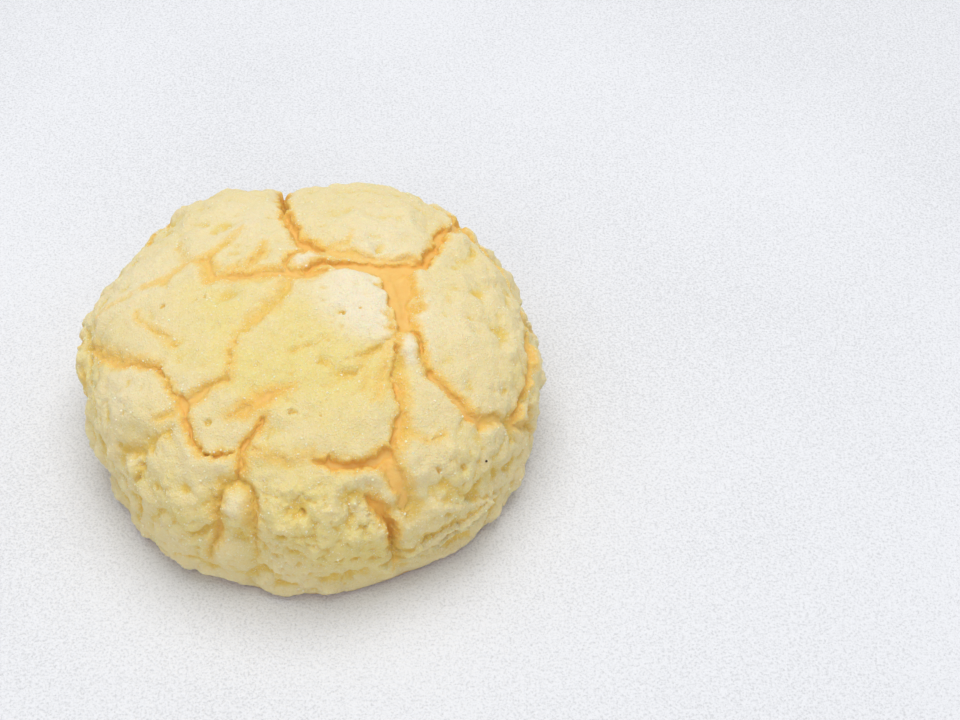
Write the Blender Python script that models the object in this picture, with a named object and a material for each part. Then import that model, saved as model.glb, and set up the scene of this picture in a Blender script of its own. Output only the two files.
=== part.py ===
"""Melon pan: a round sweet bun baked under a cookie crust that has cracked into plates.

One closed solid. It stands on the XY plane, +Z up, with its origin at the middle of the flat
underside. The crust is designed as the baker lays it: a flat round of dough, on which the cracks
are drawn in millimetres from its centre, and which is then draped over the bun. On the flat round
+X is the bun's right side and +Y its back.
"""
import math

import bmesh
import bpy
import numpy as np
from mathutils import Vector
from mathutils.geometry import delaunay_2d_cdt

MM = 0.001

# Driving sizes of the bun, in millimetres
MEAN_RADIUS = 54.5      # plan radius along the widest line
HEIGHT = 46.0           # from the table to the crown, before the crust is modelled
BELLY_HEIGHT = 19.0     # height of the widest line
FOOT_RATIO = 0.93       # radius of the flat underside against the widest radius
CROWN_FULLNESS = 2.3    # 2 is an ellipse, more is squarer, above the widest line
TUCK_FULLNESS = 2.1     # the same below the widest line

# The baked outline isn't a true circle: bearing (degrees), half width (degrees), rise (mm)
OUTLINE_SWELLS = (
    (325, 38, 3.4),
    (275, 18, 1.6),
    (206, 20, -1.6),
    (178, 12, 1.3),
    (122, 14, 3.2),
    (98, 11, -1.4),
    (58, 24, 2.0),
)

# The crust
CRUST_DEPTH = 2.6       # from a plate's top down to the bread in an open crack
WALL_WIDTH = 1.1        # over which a plate's edge drops to the bread
SHOULDER_DROP = 1.1     # how far a plate rounds down towards its edge
SHOULDER_REACH = 5.0    # how far in from the edge that rounding starts
SWELL_RISE = 0.9        # slow unevenness of the whole crust
SWELL_SIZE = 26.0
LUMP_RISE = 0.7         # smaller lumps on the flank
LUMP_SIZE = 9.0

# Cracks on the flat round of dough: x, y and half width in mm, then the share of CRUST_DEPTH
CRACKS = {
    "back_gap": (1.6, (-10, 70, 0.9), (-8, 56, 1.4), (-7, 45, 1.3), (-5, 28, 1.0), (0, 18, 1.2),
                 (6, 13, 1.6)),
    "crown_band": (1.0, (-20, 6, 0.8), (-12, 6, 0.9), (-2, 6, 1.3), (8, 9, 2.2), (20, 8, 2.4),
                   (27, 9, 1.8), (30, 14, 1.0), (34, 24, 1.0), (38, 36, 1.1), (47, 52, 0.9)),
    "right_field": (1.0, (23, 7, 3.0), (23, 1, 2.9), (24, -7, 2.3)),
    "right_branch": (1.0, (24, -9, 1.2), (28, -18, 0.9), (35, -25, 1.2), (43, -29, 1.4),
                     (54, -25, 1.5), (69, -21, 1.0)),
    "middle_edge": (1.0, (22, -12, 0.8), (22, -19, 1.0), (24, -29, 1.8), (23, -38, 1.6),
                    (14, -44, 1.7), (4, -44, 0.8), (-10, -42, 0.7)),
    "front_right": (1.0, (21, -42, 1.5), (25, -48, 1.8), (28, -54, 0.9)),
    "front_right_furrow": (1.0, (18, -51, 0.9), (22, -56, 1.7), (25, -61, 1.7), (32, -73, 0.9)),
    "left_gap": (1.0, (-58, -2, 0.9), (-48, -12, 1.4), (-40, -17, 1.4), (-29, -23, 0.8),
                 (-24, -31, 1.2), (-23, -38, 0.9), (-12, -43, 0.8)),
    "middle_left": (0.8, (-24, -31, 1.2), (-18, -26, 1.2), (-14, -20, 0.8), (-9, -10, 0.8),
                    (-1, 3, 1.1)),
    "front_left": (0.9, (-6, -35, 0.7), (-10, -42, 0.9), (-12, -49, 0.8), (-17, -53, 1.1),
                   (-20, -61, 1.2), (-27, -75, 1.0)),
    "front_left_twin": (0.9, (-12, -49, 0.8), (-9, -56, 1.2), (-10, -66, 1.3), (-13, -76, 0.9)),
    "top_left": (0.7, (-21, 16, 0.8), (-24, 13, 1.1), (-20, 6, 1.1), (-11, 9, 0.9), (-8, 15, 0.7)),
    "far_left": (0.5, (-24, 13, 0.9), (-34, 8, 1.1), (-46, 4, 0.8)),
    "left_hook": (0.5, (-38, -1, 0.7), (-34, -9, 0.8), (-28, -15, 1.0)),
    "left_hollow": (0.5, (-46, -37, 0.8), (-34, -38, 1.5), (-28, -36, 0.9)),
    "back_ring": (0.9, (-8, 56, 1.1), (10, 56, 1.0), (24, 50, 1.0), (38, 36, 1.1), (50, 27, 1.0),
                  (58, 12, 1.0), (57, -6, 1.0), (54, -25, 1.2)),
    "back_left": (0.8, (-9, 60, 1.0), (-24, 52, 1.0), (-38, 42, 0.9), (-46, 30, 0.8)),
}

# Upright furrows round the back and the sides, where the crust has creased
FURROW_COUNT = 9
FURROW_FIRST_BEARING = -14.0
FURROW_STEP = 26.0
FURROW_TOP = 60.0
FURROW_LENGTH = 17.0
FURROW_HALF_WIDTH = 0.9
FURROW_SHARE = 0.6

# Spacing of the mesh, in millimetres
CRACK_STEP = 2.3        # along a crack
PLATE_STEP = 3.9        # over an unbroken plate
RIM_POINTS = 108        # round the underside's edge
CLEARANCE = 0.95        # no two points on the flat round are closer than this
SHOULDER_ROW = 2.2      # distance of a row of points beyond a plate's edge
FURROW_SEED = 11


def swell_noise(points, size, seed):
    """Smooth noise from -1 to 1 at each point, with bumps about `size` across."""
    lattice = np.random.default_rng(seed).uniform(-1.0, 1.0, (16, 16, 16))
    places = points / size + 100.0
    cell = np.floor(places).astype(int)
    part = places - cell
    part = part * part * (3.0 - 2.0 * part)
    total = np.zeros(len(points))
    for corner in np.ndindex(2, 2, 2):
        index = (cell + corner) % 16
        weight = np.prod(np.where(np.array(corner) == 1, part, 1.0 - part), axis=1)
        total += weight * lattice[index[:, 0], index[:, 1], index[:, 2]]
    return total


def outline_radius(bearing):
    """Plan radius along the widest line at a bearing in radians."""
    radius = np.full_like(bearing, MEAN_RADIUS)
    for centre, half_width, rise in OUTLINE_SWELLS:
        turn = (np.degrees(bearing) - centre + 180.0) % 360.0 - 180.0
        radius += rise * np.exp(-(turn / half_width) ** 2)
    return radius


def profile_table(count=2001):
    """The side profile: distance along the crust from the crown, radius share and height."""
    turn = np.linspace(0.0, math.pi, count)
    above = turn <= math.pi / 2
    sine = np.maximum(np.sin(turn), 0.0)
    cosine = np.maximum(np.abs(np.cos(turn)), 0.0)
    crown_radius = sine ** (2.0 / CROWN_FULLNESS)
    crown_height = BELLY_HEIGHT + (HEIGHT - BELLY_HEIGHT) * cosine ** (2.0 / CROWN_FULLNESS)
    tuck_radius = FOOT_RATIO + (1.0 - FOOT_RATIO) * sine ** (2.0 / TUCK_FULLNESS)
    tuck_height = BELLY_HEIGHT * (1.0 - cosine ** (2.0 / TUCK_FULLNESS))
    share = np.where(above, crown_radius, tuck_radius)
    height = np.where(above, crown_height, tuck_height)
    steps = np.hypot(np.diff(share) * MEAN_RADIUS, np.diff(height))
    return np.concatenate(([0.0], np.cumsum(steps))), share, height


ALONG, SHARE, RISE = profile_table()
CRUST_RADIUS = float(ALONG[-1])     # of the flat round of dough


def drape(flat):
    """Points of the flat round of dough, laid over the smooth bun."""
    along = np.minimum(np.hypot(flat[:, 0], flat[:, 1]), CRUST_RADIUS)
    bearing = np.arctan2(flat[:, 1], flat[:, 0])
    radius = np.interp(along, ALONG, SHARE) * outline_radius(bearing)
    height = np.interp(along, ALONG, RISE)
    return np.stack((radius * np.cos(bearing), radius * np.sin(bearing), height), axis=1)


def outward(flat, step=0.4):
    """Unit normals of the smooth bun at points of the flat round."""
    across = drape(flat + (step, 0.0)) - drape(flat - (step, 0.0))
    back = drape(flat + (0.0, step)) - drape(flat - (0.0, step))
    normal = np.cross(across, back)
    return normal / np.maximum(np.linalg.norm(normal, axis=1, keepdims=True), 1e-9)


def furrows():
    """The creases that repeat round the flank, as cracks."""
    rng = np.random.default_rng(FURROW_SEED)
    made = {}
    for number in range(FURROW_COUNT):
        bearing = math.radians(FURROW_FIRST_BEARING + FURROW_STEP * number + rng.uniform(-6, 6))
        lean = math.radians(rng.uniform(-5, 5))
        top = FURROW_TOP + rng.uniform(-2, 5)
        low = min(top + FURROW_LENGTH * rng.uniform(0.7, 1.0), CRUST_RADIUS - 4.0)
        ends = ((top, bearing), (low, bearing + lean))
        made[f"furrow_{number}"] = (FURROW_SHARE,) + tuple(
            (far * math.cos(turn), far * math.sin(turn), FURROW_HALF_WIDTH) for far, turn in ends)
    return made


def walk(points, step):
    """A crack's points with more between them: x, y and half width, about `step` apart."""
    route = np.array(points, dtype=float)
    pieces = []
    for start, end in zip(route[:-1], route[1:]):
        count = max(1, round(math.dist(start[:2], end[:2]) / step))
        share = np.arange(count)[:, None] / count
        pieces.append(start + (end - start) * share)
    pieces.append(route[-1:])
    return np.concatenate(pieces)


def crack_levels(solid_points, cracks):
    """At each point: how far the crust is cut (0 to 1 and more) and how near an edge is."""
    cut = np.zeros(len(solid_points))
    near_edge = np.zeros(len(solid_points))
    for share, *points in cracks.values():
        route = walk(points, 1.5)
        line = drape(route[:, :2])
        for start, end, wide, wide_end in zip(line[:-1], line[1:], route[:-1, 2], route[1:, 2]):
            run = end - start
            along = np.clip((solid_points - start) @ run / (run @ run), 0.0, 1.0)
            gap = np.linalg.norm(solid_points - start - along[:, None] * run, axis=1)
            half_width = wide + (wide_end - wide) * along
            fall = np.clip((half_width + WALL_WIDTH - gap) / WALL_WIDTH, 0.0, 1.0)
            cut = np.maximum(cut, share * fall * fall * (3.0 - 2.0 * fall))
            reach = np.maximum(gap - half_width, 0.0) / SHOULDER_REACH
            near_edge = np.maximum(near_edge, min(share, 1.0) * np.exp(-reach * reach * 2.0))
    return cut, near_edge


def crust_surface(flat, cracks):
    """The baked surface over points of the flat round, cracks and unevenness included."""
    smooth = drape(flat)
    cut, near_edge = crack_levels(smooth, cracks)
    along = np.hypot(flat[:, 0], flat[:, 1])
    flank = np.clip((along - 40.0) / 20.0, 0.0, 1.0)
    foot = np.clip((CRUST_RADIUS - along) / 6.0, 0.0, 1.0)
    rise = SWELL_RISE * swell_noise(smooth, SWELL_SIZE, 3)
    rise += LUMP_RISE * (0.35 + 0.65 * flank) * swell_noise(smooth, LUMP_SIZE, 4)
    rise -= SHOULDER_DROP * near_edge + CRUST_DEPTH * cut
    return smooth + outward(flat) * (rise * foot)[:, None]


def ring(radius, count):
    """Points evenly round a circle on the flat round."""
    turn = np.arange(count) * 2.0 * math.pi / count
    return np.stack((radius * np.cos(turn), radius * np.sin(turn)), axis=1)


def flat_squeeze(flat):
    """How much the flat round narrows sideways when it is draped: 1 at the crown."""
    along = np.maximum(np.hypot(flat[:, 0], flat[:, 1]), 1.0)
    return np.interp(along, ALONG, SHARE) * MEAN_RADIUS / along


def crack_rows(points):
    """Rows of points along one crack: its floor, the floor's edges, the lips, the shoulders."""
    route = walk(points, CRACK_STEP)
    middle = route[:, :2]
    run = np.gradient(middle, axis=0)
    side = np.stack((-run[:, 1], run[:, 0]), axis=1) / np.linalg.norm(run, axis=1, keepdims=True)
    side /= np.maximum(flat_squeeze(middle), 0.5)[:, None]
    floor = side * route[:, 2:]
    lip = floor + side * WALL_WIDTH
    shoulder = lip + side * SHOULDER_ROW
    rows = [(middle, CLEARANCE)]
    for offset, room in ((floor, CLEARANCE), (lip, CLEARANCE), (shoulder, 2.0 * CLEARANCE)):
        rows += [(middle + offset, room), (middle - offset, room)]
    return rows


def plate_grid():
    """A staggered grid of points over the whole flat round."""
    reach = int(CRUST_RADIUS / PLATE_STEP) + 2
    counts = range(-reach, reach + 1)
    rise = PLATE_STEP * math.sqrt(0.75)
    return np.array([((i + 0.5 * (j % 2)) * PLATE_STEP, j * rise) for j in counts for i in counts])


def mesh_points(cracks):
    """Points of the flat round: the rim, then the cracks, then what room is left on the plates."""
    kept = ring(CRUST_RADIUS, RIM_POINTS)
    rows = [row for _, *points in cracks.values() for row in crack_rows(points)]
    rows.sort(key=lambda row: row[1])
    for batch, room in rows + [(plate_grid(), PLATE_STEP * 0.6)]:
        inside = batch[np.hypot(batch[:, 0], batch[:, 1]) < CRUST_RADIUS - 2.0]
        for point in inside:
            if np.min(np.hypot(*(kept - point).T)) > room:
                kept = np.vstack((kept, point))
    return kept


def make_bun():
    """The bun as one closed mesh: the draped crust above and the flat underside below."""
    cracks = {**CRACKS, **furrows()}
    flat = mesh_points(cracks)
    rim = [(i, (i + 1) % RIM_POINTS) for i in range(RIM_POINTS)]
    plan = delaunay_2d_cdt([Vector(p) for p in flat], rim, [], 1, 1e-5)
    flat = np.array([tuple(p) for p in plan[0]])
    baked = crust_surface(flat, cracks)
    on_rim = np.hypot(flat[:, 0], flat[:, 1]) > CRUST_RADIUS - 0.01
    baked[on_rim, 2] = 0.0
    baked[:, :2] -= (baked.min(axis=0) + baked.max(axis=0))[:2] / 2.0

    shape = bmesh.new()
    verts = [shape.verts.new(p * MM) for p in baked]
    for corners in plan[2]:
        shape.faces.new([verts[i] for i in corners])
    around = sorted(np.flatnonzero(on_rim), key=lambda i: math.atan2(flat[i, 1], flat[i, 0]))
    middle = shape.verts.new((0.0, 0.0, 0.0))
    for here, after in zip(around, around[1:] + around[:1]):
        shape.faces.new((middle, verts[after], verts[here]))
    bmesh.ops.recalc_face_normals(shape, faces=shape.faces)
    mesh = bpy.data.meshes.new("bun")
    shape.to_mesh(mesh)
    shape.free()
    return mesh


def crust_material():
    """Pale yellow baked cookie dough."""
    material = bpy.data.materials.new("cookie_crust")
    material.use_nodes = True
    surface = material.node_tree.nodes["Principled BSDF"]
    surface.inputs["Base Color"].default_value = (0.82, 0.72, 0.38, 1.0)
    surface.inputs["Roughness"].default_value = 0.85
    surface.inputs["Metallic"].default_value = 0.0
    return material


def main():
    for item in list(bpy.data.objects):
        bpy.data.objects.remove(item, do_unlink=True)
    mesh = make_bun()
    mesh.materials.append(crust_material())
    mesh.shade_smooth()
    mesh.set_sharp_from_angle(angle=math.radians(50))
    bun = bpy.data.objects.new("bun", mesh)
    bpy.context.scene.collection.objects.link(bun)


main()
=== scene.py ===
"""Melon pan: the baked looks of a round sweet bun under a cracked cookie crust.

The crust is worked out as the baker lays it: a flat round of dough, measured in millimetres from
its centre (+X is the bun's right side, +Y its back), with the cracks drawn on it. It is then draped
over the bun, carved, roughened and coloured, and sugar is scattered on it.
"""
import math

import bpy
import numpy as np
from bpy.props import FloatProperty, FloatVectorProperty, IntProperty, PointerProperty
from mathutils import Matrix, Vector


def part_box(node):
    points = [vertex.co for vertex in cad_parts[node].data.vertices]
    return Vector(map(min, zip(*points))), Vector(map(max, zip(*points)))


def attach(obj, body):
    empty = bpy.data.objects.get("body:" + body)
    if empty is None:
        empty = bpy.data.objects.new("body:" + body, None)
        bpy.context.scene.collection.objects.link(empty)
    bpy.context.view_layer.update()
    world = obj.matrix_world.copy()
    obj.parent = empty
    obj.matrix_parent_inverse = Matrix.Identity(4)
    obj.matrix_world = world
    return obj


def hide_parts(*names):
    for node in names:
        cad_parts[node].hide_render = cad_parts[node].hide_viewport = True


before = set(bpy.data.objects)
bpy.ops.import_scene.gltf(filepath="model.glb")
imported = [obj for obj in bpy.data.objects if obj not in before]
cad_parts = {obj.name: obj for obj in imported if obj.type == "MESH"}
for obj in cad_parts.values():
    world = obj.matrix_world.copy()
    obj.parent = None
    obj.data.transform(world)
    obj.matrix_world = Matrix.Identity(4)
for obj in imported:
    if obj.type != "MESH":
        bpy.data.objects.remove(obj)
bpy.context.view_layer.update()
BUN_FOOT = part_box("bun")[0].z

bl_info = {
    "name": "Melon Pan",
    "version": (1, 0, 0),
    "blender": (4, 5, 0),
    "location": "View3D > Sidebar > Melon Pan",
    "description": "Bakes a cracked cookie crust and its sugar round the bun",
    "category": "Add Mesh",
}

MM = 0.001
TABLE_GAP = 0.0001           # keeps the table top just clear of the bun

# The bun under the crust, in millimetres
MEAN_RADIUS = 54.5
HEIGHT = 46.0
BELLY_HEIGHT = 19.0
FOOT_RATIO = 0.93
CROWN_FULLNESS = 2.3
TUCK_FULLNESS = 2.1

# Bearing (degrees), half width (degrees) and rise (mm) of each swell of its outline
OUTLINE_SWELLS = (
    (325, 38, 3.4),
    (275, 18, 1.6),
    (206, 20, -1.6),
    (178, 12, 1.3),
    (122, 14, 3.2),
    (98, 11, -1.4),
    (58, 24, 2.0),
)

# Cracks: depth, width of the wall on the left and on the right, and how much bread shows (0 to 1),
# then the route on the flat round of dough, as x, y and half width. All in millimetres.
CRACKS = {
    "back_gap": (11.5, 0.8, 0.6, 1, (-11, 72, 0.9), (-8.5, 58, 0.9), (-7, 45, 0.8), (-6, 35, 0.7)),
    "back_gap_end": (3.4, 0.9, 1.6, 1, (-6.3, 38, 0.7), (-5, 28, 0.8), (-2, 21, 0.9), (0, 17, 1.0),
                     (4, 13.5, 1.3)),
    "crown_ledge": (1.3, 0.8, 1.2, 0.55, (3, 14, 1.0), (8, 11.5, 1.5), (15, 10.6, 1.5),
                    (22, 10.5, 1.2), (27, 11.5, 0.6)),
    "crown_band": (2.6, 0.5, 0.3, 1, (1, 5.5, 0.8), (6, 8.2, 0.8), (10, 7.6, 1.2), (15, 6.8, 1.8),
                   (20, 6.3, 2.6), (25, 8.8, 1.6), (28.5, 11, 1.0), (30, 14, 0.9), (32, 20, 0.8),
                   (34, 26, 0.9), (38, 36, 1.0), (47, 52, 0.8)),
    "crown_left": (2.0, 1.6, 2.6, 0.85, (-20, 6, 0.8), (-14, 5.8, 0.5), (-9, 5.5, 0.7),
                   (-3, 4.5, 1.1), (1, 3.8, 1.1), (6, 5.5, 0.6)),
    "right_field": (2.6, 3.6, 0.3, 1, (21.5, 5, 3.2), (22.5, 0, 3.3), (23, -5, 2.7),
                    (23.5, -8.2, 2.1)),
    "right_step": (2.9, 0.5, 1.6, 1, (20.5, -10.4, 0.2), (23, -10.6, 0.3), (26, -9.8, 0.4),
                   (27.6, -13, 0.5), (28.6, -18, 0.4), (29.5, -20.5, 0.6)),
    "right_branch": (2.4, 2.4, 0.45, 0.85, (29.5, -20.5, 0.8), (35, -25, 0.8), (39, -28, 0.9),
                     (43, -29.5, 1.0)),
    "right_branch_end": (2.4, 0.5, 2.0, 0.45, (43, -29.5, 1.0), (47, -27, 1.0), (56, -25, 1.0),
                         (69, -21, 0.7)),
    "middle_corner": (2.8, 2.8, 0.5, 0.3, (21, -12.4, 0.3), (18, -15.5, 0.5), (14.5, -18, 0.1),
                      (12, -19, -0.5)),
    "middle_crease": (2.2, 2.4, 0.9, 0.15, (6, -21, -0.5), (9.5, -23.5, 0.3), (13.5, -23, 0.3),
                      (16, -20.5, -0.3)),
    "middle_streak": (1.6, 2.2, 1.6, 0.12, (-4, -19.5, -0.5), (2, -17, 0.2), (8, -15, -0.4)),
    "middle_edge_top": (2.6, 1.3, 0.4, 0.9, (21.5, -11.5, 0.5), (22.0, -19, 0.4)),
    "middle_edge": (2.6, 3.2, 0.4, 0.9, (22.0, -19, 0.3), (22.4, -23, 0.4), (22.8, -26, 0.6),
                    (23.6, -30, 0.8), (23.8, -34, 0.9), (23.4, -38, 0.8), (22, -41, 0.8)),
    "middle_front": (2.8, 0.5, 0.8, 1, (22, -41, 1.1), (18, -43, 1.0), (14, -44.3, 1.3),
                     (10, -44.5, 1.2), (6, -44, 0.6), (3, -43.4, -0.5)),
    "middle_lip": (1.1, 0.9, 0.6, 0.6, (5, -41.5, 0.4), (1, -44, 0.2), (-4, -42.5, 0.5),
                   (-10.5, -42.5, 0.3)),
    "front_right": (2.2, 2.0, 1.0, 0.8, (22, -41, 1.1), (23.3, -45, 1.7), (25.6, -48, 1.7),
                    (28, -51.5, 0.9), (29.8, -55.5, -0.5)),
    "front_right_furrow": (4.4, 1.6, 1.0, 1, (19, -51, 0.4), (21.5, -53.5, 0.9), (23.8, -56, 1.2),
                           (26.3, -60, 1.3), (28.4, -64, 0.6), (30, -68, -0.2),
                           (31.5, -73, -1.0)),
    "left_pocket": (1.8, 1.5, 1.0, 0.3, (-66, 4, 0.6), (-60, 1, 1.1)),
    "left_gap": (2.5, 4.0, 0.5, 0.8, (-56, -4, 0.3), (-52, -8, 0.6), (-46, -14, 0.8),
                 (-40, -17, 0.7), (-34, -19.5, 0.5)),
    "left_gap_thin": (2.3, 0.7, 0.5, 0.85, (-34, -19.5, 0.4), (-30, -23, 0.3), (-27, -27, 0.3),
                      (-24.5, -31, 0.7), (-23.3, -34.5, 0.9), (-22.5, -39, 0.4), (-20, -42.5, 0.4),
                      (-12, -43.5, 0.3)),
    "middle_left": (1.8, 1.5, 1.6, 0.7, (-24.5, -31, 0.9), (-22, -29, 1.1), (-18.5, -26.5, 0.9),
                    (-14.5, -25, 0.3)),
    "middle_left_up": (1.7, 0.7, 0.9, 0.6, (-14.5, -25, 0.3), (-13.8, -18, 0.25),
                       (-12.5, -14, 0.3)),
    "middle_left_top": (2.0, 3.4, 1.0, 0.45, (-12.5, -14, 0.2), (-9, -9.5, 0.8), (-4, -3.5, 0.9),
                        (-2, 1.5, 1.3)),
    "top_left": (1.8, 1.0, 2.4, 0.7, (-23, 13.5, 0.8), (-21.5, 10, 0.8), (-20, 6.5, 0.9)),
    "top_left_low": (1.6, 1.0, 2.2, 0.65, (-20, 6.5, 0.8), (-16.5, 7.5, 0.4), (-12.5, 8.3, 0.8),
                     (-9, 12, 0.2), (-8.5, 15, -0.4)),
    "top_left_twig": (0.8, 1.2, 1.2, 0.4, (-23, 13.5, 0.6), (-19, 17, 0.4), (-14, 21, 0.2)),
    "far_left": (1.1, 1.4, 1.4, 0.5, (-24, 13, 0.8), (-28, 12.5, 0.5), (-33, 8.3, 0.9),
                 (-38, 6.5, 0.3)),
    "far_left_end": (0.9, 1.5, 0.7, 0.25, (-40, 5.8, 0.3), (-47, 4, 0.5), (-52, 2, 0.2)),
    "far_left_twig": (0.7, 1.2, 1.2, 0.35, (-28, 13, 0.5), (-31, 20, 0.2)),
    "small_lump": (1.6, 0.9, 0.7, 0.8, (-2, 4.5, 0.8), (-3, 8, 0.4), (-2.5, 11, 0.4),
                   (3, 13.5, 0.7)),
    "right_plate_nick": (1.0, 0.7, 0.8, 0.5, (6, 14, 0.3), (10, 14.5, 0.3), (11.5, 19, -0.5)),
    "left_hook": (1.6, 1.5, 0.7, 0.5, (-38, -1, -0.3), (-37, -5, 0.1), (-33.5, -9.5, 0.2),
                  (-28.5, -14.5, 0.5)),
    "front_left": (2.2, 1.5, 0.7, 1, (-6, -35, 0.2), (-7.5, -38, 0.5), (-9.5, -41.5, 0.6),
                   (-11.3, -47, 0.3), (-12, -49.6, 0.3)),
    "finger_left": (3.9, 1.5, 1.9, 0.6, (-12, -49.2, 0.2), (-15.4, -49.9, 0.2), (-17.2, -52.5, 0.5),
                    (-17.6, -57, 0.7), (-19.5, -63, 0.7), (-23.5, -68, -0.2), (-27, -74, -1.0)),
    "finger_nick": (3.0, 1.0, 1.4, 0.2, (-19.5, -61, 0.6), (-26.5, -62, 0.2)),
    "finger_right": (3.6, 1.5, 2.4, 0.55, (-12, -49.2, 0.2), (-8.8, -49.9, 0.2), (-7.7, -53, 0.5),
                     (-9.0, -60, 0.7), (-9.8, -66, 0.1), (-11, -72, -1.2)),
    "front_patch": (1.0, 2.4, 3.4, 0.9, (-14, -34, -0.3), (-9, -32, 1.0), (-5, -30, 1.1),
                    (0, -27, -0.4)),
    "left_patch": (1.1, 1.3, 1.3, 0.45, (-30.5, -33, 0.7), (-24.5, -31, 0.5)),
    "left_hollow": (3.4, 3.4, 2.4, 0.25, (-46, -37, 0.6), (-38, -39.5, 1.4), (-33, -38, 1.2),
                    (-29, -36, 0.5)),
    "left_furrow": (3.4, 2.4, 2.4, 0.12, (-39, -43, 0.3), (-48, -51, 0.6), (-53, -56, 0.3)),
    "right_nick": (0.9, 0.9, 0.6, 0.5, (26, -35.5, 0.2), (30, -36.3, 0.3), (33.5, -34.5, 0.2)),
    "middle_fold": (0.9, 1.9, 1.9, 0.3, (14.5, -20, 0.3), (16.5, -24, 0.7), (16, -27.5, 0.4)),
    "middle_slope": (0.7, 1.0, 1.8, 0.5, (20.5, -14, 0.2), (20, -20, 0.3), (19.8, -25, 0.3),
                     (18.5, -29, 0.2)),
    "back_ring": (2.4, 0.7, 1.0, 0.7, (-8, 56, 1.0), (2, 57.5, 0.7), (10, 56, 0.8), (24, 50, 0.7),
                  (31, 44, 1.1), (38, 36, 1.0), (50, 27, 0.9), (58, 12, 0.8), (57, -6, 0.8),
                  (54, -25, 1.0)),
    "back_left": (2.0, 0.9, 0.7, 0.9, (-9, 60, 0.9), (-18, 53, 0.8), (-24, 52, 0.9), (-38, 42, 0.7),
                  (-46, 30, 0.5)),
}

# Sheets of dough that stand out below a line: rise and reach, then the line as in a crack
SHEETS = {
    "upper": (1.1, 3.5, (38, -50, 0.2), (45, -48, 0.4), (51, -47, 0.3), (60, -43, 0.1)),
    "middle": (1.5, 2.6, (24, -69, 0.1), (33, -66, 0.2), (41, -59, 0.2), (48, -53, 0.2),
               (54, -45, 0.1)),
    "lower": (1.2, 2.2, (28, -71, 0.1), (38, -66, 0.2), (47, -59, 0.2), (54, -50, 0.1)),
}

# Upright furrows round the back and the sides
FURROW_COUNT = 9
FURROW_FIRST_BEARING = -14.0
FURROW_STEP = 26.0
FURROW_TOP = 60.0
FURROW_LENGTH = 17.0
FURROW_HALF_WIDTH = 0.6
FURROW_CUT = (1.8, 1.1, 1.5, 0.45)    # depth, left and right wall, how much bread shows
FURROW_SEED = 11

# Soft dents and rises of the crust: x, y, reach, rise
LIFTS = (
    (13, 1, 9, 0.8),        # the proud back corner of the middle plate
    (17, 2, 6, 0.8),
    (19, -7, 5, 0.6),
    (20, -21, 4.5, -0.9),
    (20, -30, 8, 0.5),
    (12, -38, 8, 0.6),
    (12, 22, 12, 0.7),
    (-30, 0, 10, -0.5),
    (38, -8, 12, 0.6),
    (4, -52, 9, 0.5),
    (-36, -28, 11, 0.9),
    (33, -38, 8, 0.7),
    (8, -30, 8, -0.4),
    (-13, -54.5, 3.8, 1.6),
    (25.0, -15.5, 2.8, 1.1),
    (1, 9.3, 3.0, 0.9),
    (-66, -6, 20, -2.3),
    (-56, -40, 14, -1.0),
    (54, -42, 12, -1.1),
    (-50, 26, 16, -1.3),
    (-36, -62, 14, 1.0),
    (22, 46, 16, 1.2),
    (-30, -50, 8, 1.0),
    (0, -54, 7, 0.9),
    (-46, -20, 9, 0.8),
)

# Fields where the crust is stretched thin and yellower: x, y, reach, strength
YELLOW_FIELDS = (
    (2, -14, 13, 0.75),
    (12, -30, 12, 0.7),
    (-20, -4, 11, 0.75),
    (-18, -19, 9, 0.65),
    (-8, -26, 9, 0.6),
    (19, -21, 7, 0.9),
    (0, -60, 16, 0.9),
    (24, -64, 12, 0.8),
    (-40, -42, 12, 0.5),
    (44, -42, 12, 0.6),
    (58, -16, 10, 0.5),
    (-58, -12, 12, 0.6),
    (-26, -58, 12, 0.6),
)

# Fields where it is thick and palest
PALE_FIELDS = (
    (14, -1, 12, 1.0),
    (19, -7, 7, 0.6),
    (25.0, -15.5, 3.4, 1.2),
    (1, 9.3, 3, 0.8),
    (-13, -54.5, 4, 0.6),
    (20, 22, 14, 0.5),
    (-42, -24, 12, 0.5),
    (-42, 10, 16, 0.5),
    (34, -8, 12, 0.4),
    (-14, 26, 16, 0.5),
)

# Pinholes: x, y, radius, then the loose ones that lie anywhere
PINHOLES = ((10, -7, 0.7), (1, -33, 0.8), (-18, -36, 0.8), (8, -67, 0.9), (14, -69, 1.0),
            (18, -69, 0.9), (-2, -62, 1.0), (3, -55, 0.7), (-32, -2, 0.6), (-22, 0, 0.5),
            (40, -40, 0.7), (34, -42, 0.8))
PINHOLE_DEPTH = 1.5          # as a share of its radius
LOOSE_PINHOLES = 26
LOOSE_PINHOLE_RADII = (0.25, 0.45)
LOOSE_PINHOLE_SPREAD = 80.0
PINHOLE_SEED = 23

# The flank's crumbly stretches: bearing, half width (degrees), strength
CRAGS = ((274, 28, 1.0), (205, 22, 0.5), (60, 60, 0.6), (150, 40, 0.6), (2, 24, 0.5))

# Where the scorched crumb lies
SCORCHED_CRUMB = (46.0, -37.0)

# Layers of noise: share, size and seed
WANDER = ((0.9, 7.0, 40), (0.45, 3.2, 50), (0.42, 1.4, 60), (0.20, 0.8, 80))
CRAG_DOMES = ((0.80, 9.5, 5), (0.42, 5.2, 6), (0.07, 2.4, 12))
CRAG_LEVEL = 0.72            # the height of the domes that leaves the crust where it is
RIPPLE = ((0.65, 6.5, 13), (0.35, 3.0, 14))
GRAIN = ((0.7, 1.7, 7), (0.7, 0.9, 8))

# Cells along each side of the blocks of noise that repeat
SWELL_LATTICE = 16
LATTICE = 32

# The bake map, as shares of its width: the crust's disc, and the underside's in a corner
CRUST_DISC = 0.485
BASE_DISC = 0.068
BASE_CENTRE = 0.075

# How strongly the sizes of what is scattered lean to the smallest
SMALL_GRAIN_BIAS = 12


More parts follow.
